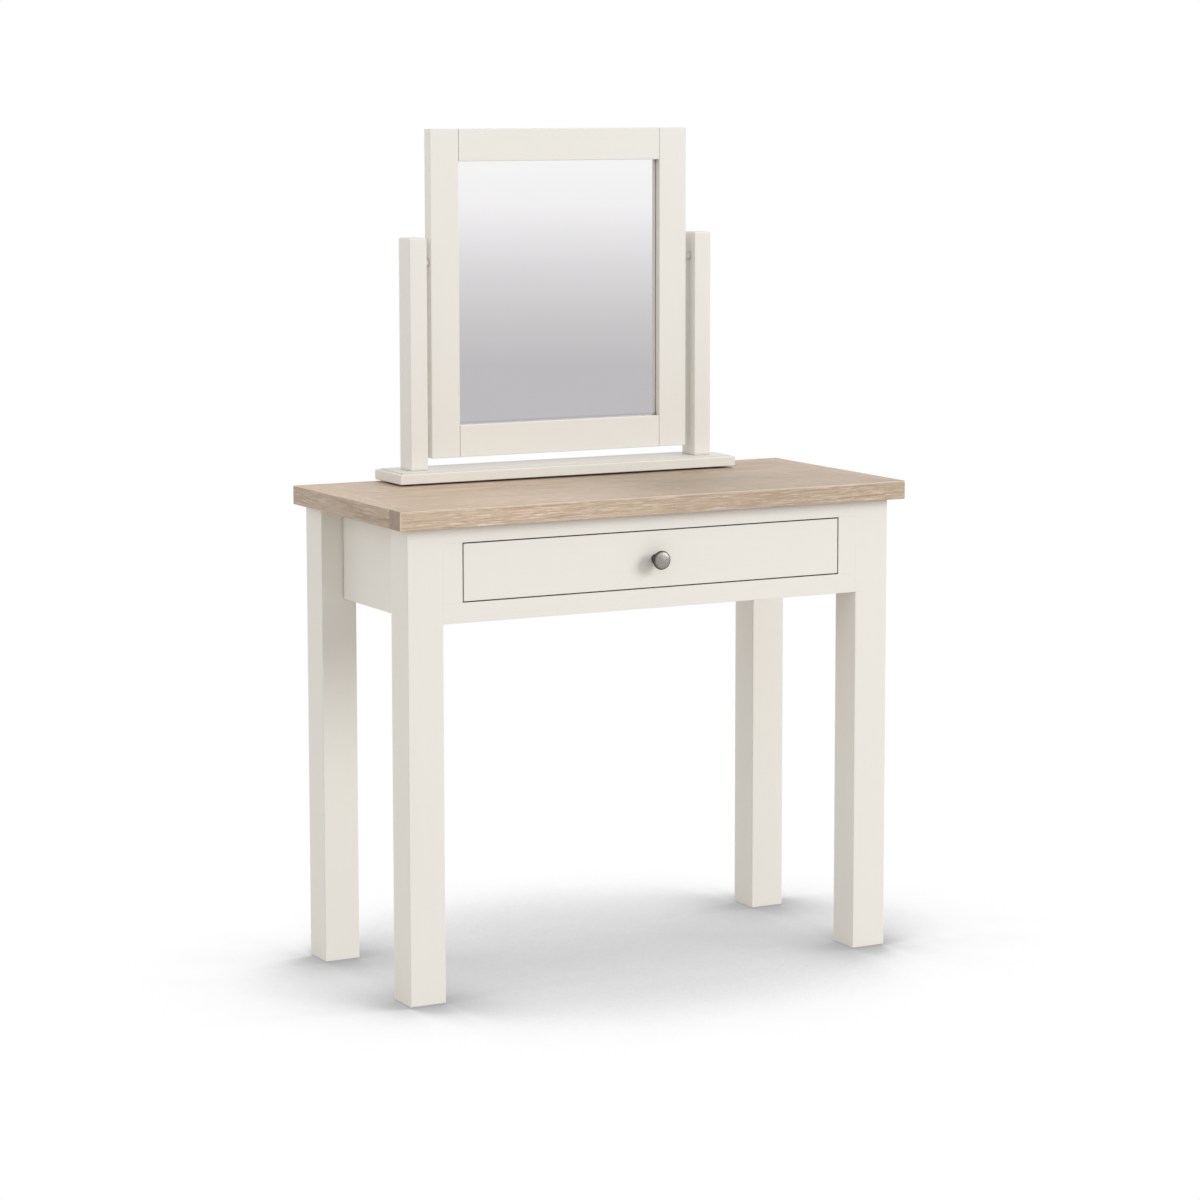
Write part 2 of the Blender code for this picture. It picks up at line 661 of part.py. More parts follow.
def build_knob(front, slide):
    """Turned mushroom knob held by a screw through the drawer front."""
    outward = (0, -1, 0)
    face_radius = KNOB_DIAMETER / 2
    bore = KNOB_SCREW_DIAMETER / 2 + SEAT_GAP
    bore_depth = KNOB_SCREW_BITE + SEAT_GAP
    outline = [(0, bore_depth), (bore, bore_depth), (bore, SEAT_GAP), (KNOB_ROSE_DIAMETER / 2, SEAT_GAP)]
    for radius_share, height_share in KNOB_OUTLINE_SHARES:
        outline.append((radius_share * face_radius, height_share * KNOB_PROJECTION))
    outline.append((0, KNOB_PROJECTION))
    smooth(place("drawer_knob", turned(outline, outward), pewter("knob"), (0, 0, 0), slide))

    radius = KNOB_SCREW_DIAMETER / 2
    length = DRAWER_FRONT_THICKNESS + KNOB_SCREW_BITE
    head = KNOB_SCREW_HEAD / 2
    head_back = -KNOB_SCREW_HEAD_HEIGHT
    outline = (
        (0, head_back), (head * 3 / 4, head_back), (head, head_back / 2), (head, -SEAT_GAP),
        (radius, -SEAT_GAP), (radius, length), (0, length),
    )
    inner_face = (0, DRAWER_FRONT_THICKNESS, 0)
    smooth(place("knob_screw", turned(outline, outward, BORE_STEPS), steel("knob screw"), inner_face, slide))
    tool = drill(
        "knob screw bore", radius + SEAT_GAP, -OVERRUN, DRAWER_FRONT_THICKNESS + OVERRUN, outward,
        inner_face, slide,
    )
    cut(front, tool)


def build_stand():
    """Base board on pads, with two posts tenoned and screwed into it."""
    stand = place_empty("mirror_stand", (0, STAND_Y, STAND_FOOT))
    bm = block((STAND_WIDTH, STAND_DEPTH, STAND_THICKNESS))
    upper = [edge for edge in bm.edges if all(vert.co.z > 0 for vert in edge.verts)]
    lower = [edge for edge in bm.edges if all(vert.co.z < 0 for vert in edge.verts)]
    ease(bm, upper, STAND_EDGE_RADIUS, ROUND_EDGE_STEPS)
    lower = [edge for edge in lower if edge.is_valid]
    ease(bm, lower, STAND_ARRIS)
    grow_face(bm, end_face(bm, 2, 1), STAND_FIELD_INSET - STAND_EDGE_RADIUS, 2, STAND_FIELD_STEP)
    base = place("mirror_base", bm, paint("mirror base"), (0, 0, STAND_THICKNESS / 2), stand)

    pad_height = PAD_HEIGHT - 2 * SEAT_GAP
    post_foot = STAND_THICKNESS + STAND_FIELD_STEP
    tenon_size = (POST_WIDTH - 2 * POST_SHOULDER, POST_DEPTH - 2 * POST_SHOULDER, POST_TENON)
    for side, sign in SIDES:
        for end, row in ENDS:
            name = "base_pad_" + end + "_" + side
            outline = (
                (0, 0), (PAD_DIAMETER / 2, 0), (PAD_DIAMETER / 2, pad_height), (0, pad_height),
            )
            centre = (
                sign * (STAND_WIDTH / 2 - PAD_INSET), row * (STAND_DEPTH / 2 - PAD_INSET),
                SEAT_GAP - PAD_HEIGHT,
            )
            smooth(place(name, turned(outline, (0, 0, 1)), nylon(name), centre, stand))
        build_post(side, sign, base, stand, post_foot, tenon_size)


def build_post(side, sign, base, stand, post_foot, tenon_size):
    """One post: stub tenon and screw below, hidden bush for the pivot above."""
    name = "mirror_post_" + side
    height = POST_HEIGHT - SEAT_GAP
    bm = block((POST_WIDTH, POST_DEPTH, height))
    upper = [edge for edge in bm.edges if all(vert.co.z > 0 for vert in edge.verts)]
    grow_face(bm, end_face(bm, 2, -1), POST_SHOULDER, 2, SEAT_GAP - POST_TENON)
    ease(bm, upper, POST_CHAMFER)
    ease(bm, [edge for edge in edges_along(bm, 2) if edge.calc_length() > height / 2], POST_ARRIS)
    centre = (sign * POST_X, 0, post_foot + SEAT_GAP + height / 2)
    post = place(name, bm, paint(name), centre, stand)
    mortise(base, name + " pocket", tenon_size, 2, post_foot, -1, (sign * POST_X, 0, 0), stand)

    sizes = (POST_SCREW_HEAD / 2, POST_SCREW_HEAD_DEPTH, POST_SCREW_DIAMETER / 2, POST_SCREW_LENGTH, (0, 0, 1))
    name = "post_screw_" + side
    at = (sign * POST_X, 0, SEAT_GAP)
    smooth(place(name, countersunk_screw(*sizes), steel(name), at, stand))
    tool = screw_bore(name + " bore", *sizes, at, stand)
    cut(base, tool)
    cut(post, tool)

    name = "pivot_bush_" + side
    pivot_z = PIVOT_Z - STAND_FOOT
    outward = (sign, 0, 0)
    inner = PIN_DIAMETER / 2 + SEAT_GAP
    outline = ((inner, 0), (BUSH_RADIUS, 0), (BUSH_RADIUS, BUSH_LENGTH), (inner, BUSH_LENGTH))
    at = (sign * POST_INNER_X, 0, pivot_z)
    smooth(place(name, turned(outline, outward), white_nylon(name), at, stand))
    tool = drill(name + " bore", BUSH_RADIUS + SEAT_GAP, -OVERRUN, BUSH_LENGTH + SEAT_GAP, outward, at, stand)
    cut(post, tool)


def build_mirror():
    """Framed glass that tilts on two pins, hung from the empty on the pivot axis."""
    tilt = place_empty("mirror_tilt", (0, STAND_Y, PIVOT_Z))
    front = -MIRROR_THICKNESS / 2
    middle_z = MIRROR_FOOT + MIRROR_HEIGHT / 2
    stile_x = (MIRROR_WIDTH - MIRROR_STILE_WIDTH) / 2
    rebate_front = front + GLASS_SET_BACK - SEAT_GAP
    rebate_depth = -rebate_front - front + OVERRUN
    rebate = cutter(
        "glass rebate",
        block((2 * REBATE_HALF_WIDTH, rebate_depth, 2 * REBATE_HALF_HEIGHT)),
        (0, rebate_front + rebate_depth / 2, middle_z), tilt,
    )
    inner_width = MIRROR_WIDTH - 2 * MIRROR_STILE_WIDTH
    tenon_size = (MIRROR_TENON, MIRROR_THICKNESS - 2 * MIRROR_SHOULDER, MIRROR_RAIL_WIDTH - 2 * MIRROR_SHOULDER)
    rail_offset = (MIRROR_HEIGHT - MIRROR_RAIL_WIDTH) / 2
    rails = (("top", middle_z + rail_offset), ("bottom", middle_z - rail_offset))
    for where, centre_z in rails:
        name = "mirror_rail_" + where
        size = (inner_width - 2 * SEAT_GAP, MIRROR_THICKNESS, MIRROR_RAIL_WIDTH)
        bm = board(size, 0, MIRROR_ARRIS, MIRROR_TENON - SEAT_GAP, MIRROR_SHOULDER)
        cut(place(name, bm, paint(name), (0, 0, centre_z), tilt), rebate)

    for side, sign in SIDES:
        name = "mirror_stile_" + side
        bm = eased_block((MIRROR_STILE_WIDTH, MIRROR_THICKNESS, MIRROR_HEIGHT), MIRROR_ARRIS)
        stile = place(name, bm, paint(name), (sign * stile_x, 0, middle_z), tilt)
        for where, centre_z in rails:
            mortise(
                stile, name + " " + where + " pocket", tenon_size, 0, sign * inner_width / 2, sign,
                (0, 0, centre_z), tilt,
            )
        cut(stile, rebate)
        build_pivot(side, sign, stile, tilt)

    play = REBATE_PLAY + SEAT_GAP
    pane = (2 * (REBATE_HALF_WIDTH - play), GLASS_THICKNESS, 2 * (REBATE_HALF_HEIGHT - play))
    glass_y = front + GLASS_SET_BACK + GLASS_THICKNESS / 2
    glass_surface = make_material("mirror glass", (0.78, 0.80, 0.81), 0.03, 1.0)
    place("mirror_glass", block(pane), glass_surface, (0, glass_y, middle_z), tilt)
    board_y = front + BACK_BOARD_SEAT + BACK_BOARD_THICKNESS / 2
    bm = block((pane[0], BACK_BOARD_THICKNESS, pane[2]))
    board_surface = make_material("back board", (0.30, 0.20, 0.12), 0.75)
    place("mirror_back_board", bm, board_surface, (0, board_y, middle_z), tilt)


def build_pivot(side, sign, stile, tilt):
    """Pin fixed in the stile, and the collar that fills the gap to the post."""
    outward = (sign, 0, 0)
    radius = PIN_DIAMETER / 2
    chamfer = radius / 4
    start = -PIN_IN_FRAME
    end = MIRROR_SIDE_GAP + PIN_IN_POST
    outline = (
        (0, start), (radius, start), (radius, end - chamfer), (radius - chamfer, end), (0, end),
    )
    at = (sign * MIRROR_WIDTH / 2, 0, 0)
    name = "pivot_pin_" + side
    smooth(place(name, turned(outline, outward), steel(name), at, tilt))
    tool = drill(name + " bore", radius + SEAT_GAP, start - SEAT_GAP, OVERRUN, outward, at, tilt)
    cut(stile, tool)
    inner = radius + SEAT_GAP
    outer = inner + COLLAR_WALL
    low = SEAT_GAP
    high = MIRROR_SIDE_GAP - SEAT_GAP
    name = "pivot_collar_" + side
    outline = ((inner, low), (outer, low), (outer, high), (inner, high))
    smooth(place(name, turned(outline, outward), white_nylon(name), at, tilt))


def build():
    """Make the whole object."""
    clear_scene()
    top_panel = build_top()
    for side, sign in SIDES:
        for end, row in ENDS:
            build_leg(side, sign, end, row)
    build_apron()
    build_drawer_way(top_panel)
    build_drawer()
    build_stand()
    build_mirror()


build()
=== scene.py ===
"""Dressing table with an oak top, painted frame, one drawer and a free-standing swing mirror.

Metres, +Z up, the drawer front towards -Y. Each section is one piece or one group of
like pieces, in the order in which the table is put together.
"""
import math

import bmesh
import bpy
from mathutils import Matrix, Vector


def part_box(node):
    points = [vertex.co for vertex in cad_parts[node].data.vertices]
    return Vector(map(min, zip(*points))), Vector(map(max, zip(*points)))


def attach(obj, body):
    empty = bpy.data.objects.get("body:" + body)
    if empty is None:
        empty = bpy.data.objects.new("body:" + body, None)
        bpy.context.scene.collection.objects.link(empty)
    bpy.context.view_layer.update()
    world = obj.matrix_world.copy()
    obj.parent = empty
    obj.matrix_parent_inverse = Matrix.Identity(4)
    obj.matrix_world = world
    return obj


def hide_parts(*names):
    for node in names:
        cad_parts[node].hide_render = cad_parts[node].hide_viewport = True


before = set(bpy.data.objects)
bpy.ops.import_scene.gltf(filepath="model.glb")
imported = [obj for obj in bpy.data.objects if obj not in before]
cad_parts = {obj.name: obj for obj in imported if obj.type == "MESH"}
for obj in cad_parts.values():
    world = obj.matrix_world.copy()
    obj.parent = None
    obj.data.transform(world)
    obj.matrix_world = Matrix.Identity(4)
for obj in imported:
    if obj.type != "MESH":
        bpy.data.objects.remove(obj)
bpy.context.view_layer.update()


# Oak top. Five boards of solid oak glued edge to edge: a wide panel, a lipping the
# full width of the front, one down each side to the back edge and one between those
# behind. Planed, the arrises eased, lime-washed and sealed with a matt lacquer.

class Socket:
    """One output of a shader node, so that sums on it read as plain expressions."""

    def __init__(self, finish, socket):
        self.finish = finish
        self.socket = socket

    def maths(self, operation, *values):
        return self.finish.node("ShaderNodeMath", {"operation": operation}, values)

    def __add__(self, other):
        return self.maths("ADD", self, other)

    def __radd__(self, other):
        return self.maths("ADD", other, self)

    def __sub__(self, other):
        return self.maths("SUBTRACT", self, other)

    def __rsub__(self, other):
        return self.maths("SUBTRACT", other, self)

    def __mul__(self, other):
        return self.maths("MULTIPLY", self, other)

    def __rmul__(self, other):
        return self.maths("MULTIPLY", other, self)

    def __truediv__(self, other):
        return self.maths("DIVIDE", self, other)

    def __pow__(self, other):
        return self.maths("POWER", self, other)

    def step(self, low, high):
        """0 below low, 1 above high, and a smooth rise between them."""
        return self.finish.node(
            "ShaderNodeMapRange", {"interpolation_type": "SMOOTHSTEP"},
            {"Value": self, "From Min": low, "From Max": high},
        )


class Finish:
    """A material, or the world, worked out from nodes."""

    def __init__(self, name, world=False):
        self.owner = (bpy.data.worlds if world else bpy.data.materials).new(name)
        self.owner.use_nodes = True
        self.tree = self.owner.node_tree
        self.shader = self.tree.nodes.get("Principled BSDF")

    def node(self, kind, settings=None, values=(), output=0):
        """Make a node, set it up, then give or link its inputs. Returns one of its outputs."""
        made = self.tree.nodes.new(kind)
        for key, value in (settings or {}).items():
            if key == "stops":
                ramp = made.color_ramp
                ramp.elements.remove(ramp.elements[-1])
                ramp.elements[0].position = value[0][0]
                ramp.elements[0].color = (*value[0][1], 1.0)
                for position, colour in value[1:]:
                    ramp.elements.new(position).color = (*colour, 1.0)
            else:
                setattr(made, key, value)
        pairs = values.items() if isinstance(values, dict) else enumerate(values)
        for key, value in pairs:
            if isinstance(value, Socket):
                self.tree.links.new(value.socket, made.inputs[key])
            else:
                made.inputs[key].default_value = value
        return Socket(self, made.outputs[output])

    def place(self, along="x", shift=(0.0, 0.0, 0.0)):
        """Object coordinates turned so that the grain runs along the pattern's X."""
        turn = {"x": (0, 0, 0), "y": (0, 0, -math.pi / 2), "z": (0, math.pi / 2, 0)}[along]
        here = self.node("ShaderNodeTexCoord", output="Object")
        turned = {"Vector": here, "Rotation": turn, "Location": shift}
        return self.node("ShaderNodeMapping", None, turned)

    def stretched(self, here, factors):
        return self.node("ShaderNodeVectorMath", {"operation": "MULTIPLY"}, (here, factors))

    def noise(self, here, factors, detail=2.0, roughness=0.5):
        """Noise with so many lumps to the metre along each axis, from 0 to 1."""
        where = self.stretched(here, factors)
        return self.node(
            "ShaderNodeTexNoise", None,
            {"Vector": where, "Scale": 1.0, "Detail": detail, "Roughness": roughness},
        )

    def mixed(self, mask, first, second):
        """A colour that goes from the first to the second with the mask."""
        return self.node(
            "ShaderNodeMix", {"data_type": "RGBA"}, {0: mask, 6: first, 7: second}, output=2,
        )

    def toned(self, colour, amount):
        """A colour made lighter or darker by a value near 1."""
        return self.node("ShaderNodeVectorMath", {"operation": "SCALE"}, {0: colour, "Scale": amount})

    def lay(self, **sockets):
        """Give the shader's sockets their links or values; relief is (height, depth in metres)."""
        relief = sockets.pop("relief", None)
        if relief:
            height, depth = relief
            sockets["Normal"] = self.node("ShaderNodeBump", None, {"Height": height, "Distance": depth})
        for key, value in sockets.items():
            key = key.replace("_", " ")
            if isinstance(value, Socket):
                self.tree.links.new(value.socket, self.shader.inputs[key])
            else:
                self.shader.inputs[key].default_value = value
        return self.owner

    def show(self, socket):
        """Let an emission or a mix of shaders, not the plain shader, be what is seen."""
        output = self.tree.nodes.get("World Output") or self.tree.nodes["Material Output"]
        self.tree.links.new(socket.socket, output.inputs["Surface"])
        return self.owner


def colour(red, green, blue):
    """A colour as it is seen, 0 to 255, in the linear values that shaders use."""
    return tuple(
        value / 255 / 12.92 if value <= 10 else ((value / 255 + 0.055) / 1.055) ** 2.4
        for value in (red, green, blue)
    ) + (1.0,)


def dressed_board(low, high, arris, against=(), steps=3):
    """A planed board between two corners, its arrises eased except where a neighbour meets them.

    Two cuts close together at a neighbour's corner keep the arris's run-out short.
    """
    reach = 0.0009
    half_cut = 0.0004
    low, high = Vector(low), Vector(high)
    bm = bmesh.new()
    bmesh.ops.create_cube(bm, size=1.0)
    bmesh.ops.scale(bm, vec=high - low, verts=bm.verts)
    bmesh.ops.translate(bm, vec=(low + high) / 2, verts=bm.verts)
    boxes = [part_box(name) for name in against]
    for corner in [corner for pair in boxes for corner in pair]:
        for axis in range(3):
            if low[axis] + 4 * reach < corner[axis] < high[axis] - 4 * reach:
                normal = Vector((0, 0, 0))
                normal[axis] = 1
                for place in (corner - normal * half_cut, corner + normal * half_cut):
                    everything = bm.verts[:] + bm.edges[:] + bm.faces[:]
                    bmesh.ops.bisect_plane(
                        bm, geom=everything, dist=1e-6, plane_co=place, plane_no=normal,
                    )
    soft = []
    for edge in bm.edges:
        if edge.calc_face_angle() < 1:
            continue
        middle = (edge.verts[0].co + edge.verts[1].co) / 2
        met = any(
            all(first[axis] - reach < middle[axis] < last[axis] + reach for axis in range(3))
            for first, last in boxes
        )
        if not met:
            soft.append(edge)
    bmesh.ops.bevel(
        bm, geom=soft, offset=arris, offset_type="OFFSET", segments=steps, profile=0.5,
        affect="EDGES", clamp_overlap=True, material=-1,
    )
    return bm


def piece(name, bm, material, body, stands_for=()):
    """Turn a bmesh into a piece of the object, shaded smooth with its corners kept."""
    mesh = bpy.data.meshes.new(name)
    bm.to_mesh(mesh)
    bm.free()
    mesh.shade_smooth()
    mesh.set_sharp_from_angle(angle=math.radians(40))
    mesh.materials.append(material)
    made = bpy.data.objects.new(name, mesh)
    bpy.context.scene.collection.objects.link(made)
    even = made.modifiers.new("even shading", "WEIGHTED_NORMAL")
    even.keep_sharp = True
    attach(made, body)
    if stands_for:
        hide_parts(*stands_for)


TOP_ARRIS = 0.0014
lipping_low, lipping_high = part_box("top_front_lipping")
TOP_LEFT = lipping_low.x
TOP_FRONT = lipping_low.y
TOP_FACE = lipping_high.z
# Where the painted shade patch on the oak top lies: its middle along X and its reach along X and Y.
SHADE_PATCH_MIDDLE = 0.12
SHADE_PATCH_REACH_X = 0.25
SHADE_PATCH_REACH_Y = 0.30


def limed_oak(name, along, shift, heart, tone, slope, side_shade_and_end_tone):
    """Flat-sawn oak. heart is where the middle of the trunk lies, across the board and down.

    The faces that look to the left and right are painted darker as shade, and the front lipping's end
    grain darker still, partly for its own colour. A painted highlight runs along the front arris and
    the left front corner, and a painted shade line on the top just behind the front arris; painted
    shade also darkens the top towards the right and in a patch right of the middle.
    """
    oak = Finish(name)
    here = oak.place(along, shift)
    here = oak.node("ShaderNodeMapping", None, {"Vector": here, "Rotation": (0, slope, slope)})
    across = oak.node("ShaderNodeSeparateXYZ", None, (here,), output="Y") - heart[0]
    down = oak.node("ShaderNodeSeparateXYZ", None, (here,), output="Z") - heart[1]
    wander = oak.noise(here, (2.3, 9, 9), 2.0) - 0.5
    radius = (across * across + down * down) ** 0.5
    rings = (radius + wander * 0.030) / 0.0044
    growth = rings.maths("FRACT", rings)
    summer = growth.step(0.30, 0.95) * (1.0 - growth.step(0.95, 1.0))
    bold = oak.noise(here, (3.2, 26, 26), 2.0).step(0.40, 0.66)
    streak = oak.noise(here, (14, 520, 520), 3.0, 0.62)
    fibre = oak.noise(here, (30, 1300, 1300), 3.0, 0.65)
    fleck = oak.noise(here, (30, 800, 800), 2.0, 0.6).step(0.55, 0.64)
    dash = oak.noise(here, (26, 900, 900), 2.0, 0.6).step(0.56, 0.65)
    pores = oak.noise(here, (90, 2100, 2100), 1.0)
    open_wood = 1.0 - growth.step(0.25, 0.6)
    limed = pores.step(0.54, 0.68) * (0.35 + open_wood * 0.65)
    cloud = oak.noise(here, (1.6, 14, 14), 2.0)
    wood = oak.mixed(summer * (0.08 + bold * 0.36), colour(203, 179, 153), colour(152, 122, 95))
    wood = oak.mixed(dash * 0.42, wood, colour(156, 128, 102))
    wood = oak.mixed(fleck * 0.80, wood, colour(234, 216, 194))
    wood = oak.mixed(limed * 0.35, wood, colour(232, 217, 196))
    light = 0.30 + streak * 0.75 + fibre * 0.45 + cloud * 0.22
    wood = oak.toned(wood, light * tone)
    where = oak.node("ShaderNodeTexCoord", output="Object")
    where = oak.node("ShaderNodeSeparateXYZ", None, (where,))
    at_x, at_y, at_z = (Socket(oak, socket) for socket in where.socket.node.outputs)
    # Painted shade: the oak is made lighter at the left, darker towards the right, and darker again in
    # a soft patch right of the middle.
    along_shade_patch = (at_x - SHADE_PATCH_MIDDLE) / SHADE_PATCH_REACH_X
    across_shade_patch = at_y / SHADE_PATCH_REACH_Y
    from_shade_patch = (along_shade_patch * along_shade_patch + across_shade_patch * across_shade_patch) ** 0.5
    shade_patch = 1.0 - from_shade_patch.step(0.0, 1.0)
    wood = oak.toned(wood, 1.06 - at_x.step(-0.25, 0.10) * 0.12 - shade_patch * 0.17)
    facing = oak.node("ShaderNodeTexCoord", output="Normal")
    facing = oak.node("ShaderNodeSeparateXYZ", None, (facing,))
    sideways, forward, upward = (Socket(oak, socket) for socket in facing.socket.node.outputs)
    # Painted shade: faces that look to the left or right are darkened; on the front lipping's end grain
    # this also holds the wood's own darker colour.
    sideways = sideways.maths("ABSOLUTE", sideways).step(0.6, 0.9)
    wood = oak.mixed(sideways, wood, oak.toned(wood, side_shade_and_end_tone))
    forward = (0.0 - forward).step(0.3, 0.7)
    # Painted highlight: a lighter colour on the forward-facing faces along the top front arris and at
    # the left front corner.
    painted_arris_highlight = at_z.step(TOP_FACE - 0.0035, TOP_FACE - 0.0018)
    painted_corner_highlight = 1.0 - at_x.step(TOP_LEFT + 0.0015, TOP_LEFT + 0.003)
    painted_arris_highlight = painted_arris_highlight.maths("MAXIMUM", painted_arris_highlight, painted_corner_highlight)
    wood = oak.mixed(painted_arris_highlight * forward * 0.45, wood, colour(236, 220, 198))
    # Painted shade: a darker strip on the top face just behind the front arris.
    painted_shade_behind_arris = upward.step(0.3, 0.7) * (1.0 - at_y.step(TOP_FRONT + 0.003, TOP_FRONT + 0.008))
    wood = oak.mixed(painted_shade_behind_arris * 0.14, wood, colour(120, 98, 76))
    height = fibre * 0.4 - limed * 0.5 + streak * 0.3
    return oak.lay(
        Base_Color=wood, Roughness=0.40 + limed * 0.16 + fibre * 0.10, relief=(height, 0.00012),
    )


# Each board's grain direction, shift of the pattern, heart, tone, slope, and the tone of its faces that
# look to the left and right, which is painted shade and on end grain also the wood's own darker colour.
top_grain = {
    "top_panel": ("x", (0.31, 0.0, 0.02), (0.06, -0.35), 0.90, 0.0, 1.0),
    "top_front_lipping": ("x", (1.7, 0.4, -0.1), (0.29, 0.60), 0.875, 0.012, 0.58),
    "top_back_lipping": ("x", (3.1, -0.3, 0.2), (-0.10, 0.92), 0.93, 0.0, 1.0),
    "top_left_lipping": ("y", (0.9, 0.2, 0.1), (-0.28, 0.78), 0.94, 0.0, 0.78),
    "top_right_lipping": ("y", (2.3, -0.6, 0.3), (-0.15, 1.02), 0.94, 0.0, 0.78),
}
for node, grain in top_grain.items():
    low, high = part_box(node)
    others = [other for other in top_grain if other != node]
    piece(
        node.replace("top_", "oak_"), dressed_board(low, high, TOP_ARRIS, others),
        limed_oak(node.replace("top_", "limed oak "), *grain), "table", [node],
    )


# Legs. Four plain square posts of painted hardwood, cut square at the foot. The
# inner front edge is left crisp where the face frame is glued flush against it.

def cream_paint(name, along, light=(237, 233, 225), dark=(235, 231, 222)):
    """Sprayed satin paint in which the wood's grain just shows as a faint relief.

    Its colour is darkened in corners, gaps and joints by painted shade read from an occlusion node.
    """
    paint = Finish(name)
    here = paint.place(along)
    cloud = paint.noise(here, (3, 7, 7), 2.0)
    grain = paint.noise(here, (9, 330, 330), 3.0, 0.6)
    peel = paint.noise(here, (420, 420, 420), 1.0)
    cream = paint.mixed(cloud, colour(*light), colour(*dark))
    # Painted shade: the colour is darkened where an occlusion node finds nearby surfaces, in corners,
    # gaps and joints.
    corner = paint.node("ShaderNodeAmbientOcclusion", {"samples": 8}, {"Distance": 0.010}, output="AO")
    cream = paint.toned(cream, (0.990 + grain * 0.02) * (0.62 + corner.step(0.15, 0.85) * 0.38))
    return paint.lay(
        Base_Color=cream, Roughness=0.36 + grain * 0.10 + cloud * 0.05,
        relief=(grain * 0.6 + peel * 0.4, 0.00003),
    )


paints = {along: cream_paint("cream paint along " + along, along) for along in "xyz"}
LEG_ARRIS = 0.0015
for end in ("front", "back"):
    for side in ("left", "right"):
        node = "leg_" + end + "_" + side
        low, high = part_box(node)
        flush = ()
        if end == "front":
            flush = ("front_top_rail", "front_bottom_rail", "front_stile_" + side)
        piece(
            node.replace("leg_", "leg_post_"), dressed_board(low, high, LEG_ARRIS, flush),
            paints["z"], "table", [node],
        )


# Glides. A nylon disc nailed into the foot of each leg.

def moulded_nylon(name, dark, light):
    """Nylon with the fine grain of its mould."""
    nylon = Finish(name)
    here = nylon.place()
    grain = nylon.noise(here, (2500, 2500, 2500), 2.0)
    cloud = nylon.noise(here, (90, 90, 90), 2.0)
    shade = nylon.mixed(cloud, colour(*dark), colour(*light))
    return nylon.lay(Base_Color=shade, Roughness=0.42 + grain * 0.2, relief=(grain, 0.00004))


def finish_nodes(beginnings, material):
    """Give the CAD nodes whose names begin so a material, and leave their shape as it is."""
    for node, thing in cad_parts.items():
        if node.startswith(beginnings):
            thing.data.materials.clear()
            thing.data.materials.append(material)


finish_nodes("foot_glide", moulded_nylon("black nylon", (38, 38, 38), (48, 47, 46)))


# Apron and face frame. Boards tenoned and glued between the legs: one at each
# side, one behind, and a face frame of two rails and two short stiles, flush
# with the legs, that leaves the opening for the drawer. Painted with the legs.

APRON_ARRIS = 0.0005
HAIRLINE = 0.00012
SHOULDER_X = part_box("leg_front_right")[0].x - HAIRLINE / 2
SHOULDER_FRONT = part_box("leg_front_left")[1].y + HAIRLINE / 2
SHOULDER_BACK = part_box("leg_back_left")[0].y - HAIRLINE / 2
OPENING_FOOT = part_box("front_bottom_rail")[1].z + HAIRLINE / 2
OPENING_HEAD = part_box("front_top_rail")[0].z - HAIRLINE / 2
for side in ("left", "right"):
    node = "side_panel_" + side
    low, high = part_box(node)
    low.y = SHOULDER_FRONT
    high.y = SHOULDER_BACK
    piece(
        "side_board_" + side, dressed_board(low, high, APRON_ARRIS), paints["y"], "table",
        [node],
    )
    node = "front_stile_" + side
    low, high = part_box(node)
    low.z = OPENING_FOOT
    high.z = OPENING_HEAD
    if side == "left":
        low.x = -SHOULDER_X
    else:
        high.x = SHOULDER_X
    met = ("leg_front_" + side, "front_top_rail", "front_bottom_rail")
    piece(
        "face_stile_" + side, dressed_board(low, high, APRON_ARRIS, met), paints["z"], "table",
        [node],
    )
long_boards = {
    "front_top_rail": "face_rail_top",
    "front_bottom_rail": "face_rail_bottom",
    "back_panel": "back_board",
}
for node, made in long_boards.items():
    low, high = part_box(node)
    low.x = -SHOULDER_X
    high.x = SHOULDER_X
    met = ("leg_front_left", "leg_front_right", "front_stile_left", "front_stile_right")
    piece(
        made, dressed_board(low, high, APRON_ARRIS, met), paints["x"], "table",
        [node],
    )


# Drawer way and drawer box. Runners with a raised guide, kickers and stops of
# planed softwood, screwed and glued inside the carcase, and a drawer box of the
# same wood, lapped into its front, with a bottom slid into grooves.

def planed_softwood(name, along, shift=(0.0, 0.0, 0.0)):
    """Pale straight-grained softwood, planed and left bare."""
    wood = Finish(name)
    here = wood.place(along, shift)
    bend = wood.noise(here, (1.8, 12, 12), 2.0) - 0.5
    parts = wood.node("ShaderNodeSeparateXYZ", None, (here,))
    across = Socket(wood, parts.socket.node.outputs[1])
    down = Socket(wood, parts.socket.node.outputs[2])
    rings = (across + down * 0.6 + bend * 0.03) / 0.0036
    growth = rings.maths("FRACT", rings)
    summer = growth.step(0.5, 0.97) * (1.0 - growth.step(0.97, 1.0))
    fibre = wood.noise(here, (14, 700, 700), 3.0, 0.6)
    shade = wood.mixed(summer * 0.55, colour(222, 198, 160), colour(196, 158, 112))
    shade = wood.toned(shade, 0.90 + fibre * 0.2)
    return wood.lay(
        Base_Color=shade, Roughness=0.58 + fibre * 0.12, relief=(fibre + summer * 0.3, 0.0001),
    )


softwood = {along: planed_softwood("planed softwood along " + along, along) for along in "xyz"}
finish_nodes(("drawer_runner", "drawer_kicker", "drawer_stop", "drawer_side"), softwood["y"])
finish_nodes(("drawer_back", "drawer_bottom"), softwood["x"])


# Screws and pins. Zinc-plated steel: four through the kickers into the top, one
# up into each post, the knob's, and the two pins that the mirror turns on.

